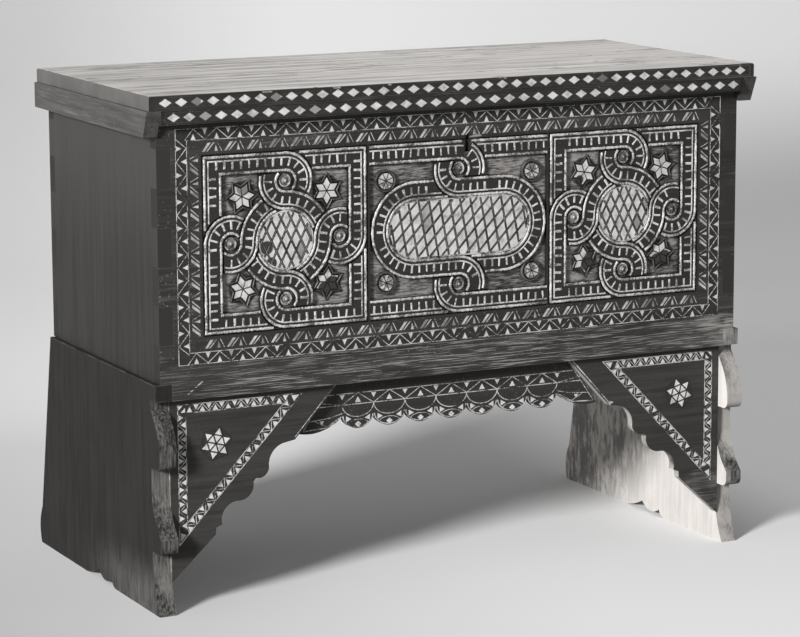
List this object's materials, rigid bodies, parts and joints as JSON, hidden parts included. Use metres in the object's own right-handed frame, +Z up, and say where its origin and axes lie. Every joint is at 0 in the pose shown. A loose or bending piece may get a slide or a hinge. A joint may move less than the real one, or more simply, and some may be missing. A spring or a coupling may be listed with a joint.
{
  "type": "inlaid wooden chest on stand",
  "caption": "Carved and pearl-inlaid wooden storage chest with a hinged plank lid, raised on a stand of shaped end boards with corner brackets and a scalloped apron.",
  "frame": {"origin": "on the floor, under the middle of the overall box", "axes": "+X along the length to the viewer's right, -Y out of the carved front, +Z up"},
  "size_m": [1.2, 0.618, 0.9024],
  "materials": {
    "carcass_wood": "dark old walnut, waxed and worn",
    "lid_wood": "bleached, worn plank with cracks along the grain",
    "stand_wood": "dark wood rubbed pale on its edges and feet",
    "mother_of_pearl": "polished shell",
    "iron": "dark forged iron"
  },
  "bodies": {
    "box": {"left_side_board": "carcass_wood", "right_side_board": "carcass_wood", "bottom_board": "carcass_wood", "front_board": "carcass_wood", "back_board": "carcass_wood", "front_rim_rail": "carcass_wood", "left_rim_rail": "carcass_wood", "right_rim_rail": "carcass_wood", "left_end_board": "stand_wood", "right_end_board": "stand_wood", "stand_front_rail": "stand_wood", "stand_back_rail": "stand_wood", "left_bracket": "stand_wood", "right_bracket": "stand_wood", "scalloped_apron": "stand_wood", "border_triangles": "mother_of_pearl", "left_roundel_lozenges": "mother_of_pearl", "right_roundel_lozenges": "mother_of_pearl", "medallion_lozenges": "mother_of_pearl", "rosette_petals": "mother_of_pearl", "panel_star_rhombs": "mother_of_pearl", "rim_lozenges": "mother_of_pearl", "left_bracket_triangles": "mother_of_pearl", "right_bracket_triangles": "mother_of_pearl", "left_hinge_box_leaf": "iron", "right_hinge_box_leaf": "iron", "hinge_box_nails": "iron"},
    "lid": {"lid_board": "lid_wood", "left_lid_batten": "lid_wood", "right_lid_batten": "lid_wood", "lid_lozenges": "mother_of_pearl", "left_hinge_lid_leaf": "iron", "right_hinge_lid_leaf": "iron", "hinge_lid_nails": "iron"}
  },
  "joints": [
    {"name": "lid_hinge", "type": "hinge", "parent": "box", "child": "lid", "pos_m": [0, 0.2425, 0.8772], "axis": [-1, 0, 0], "range_deg": [0, 100]}
  ]
}
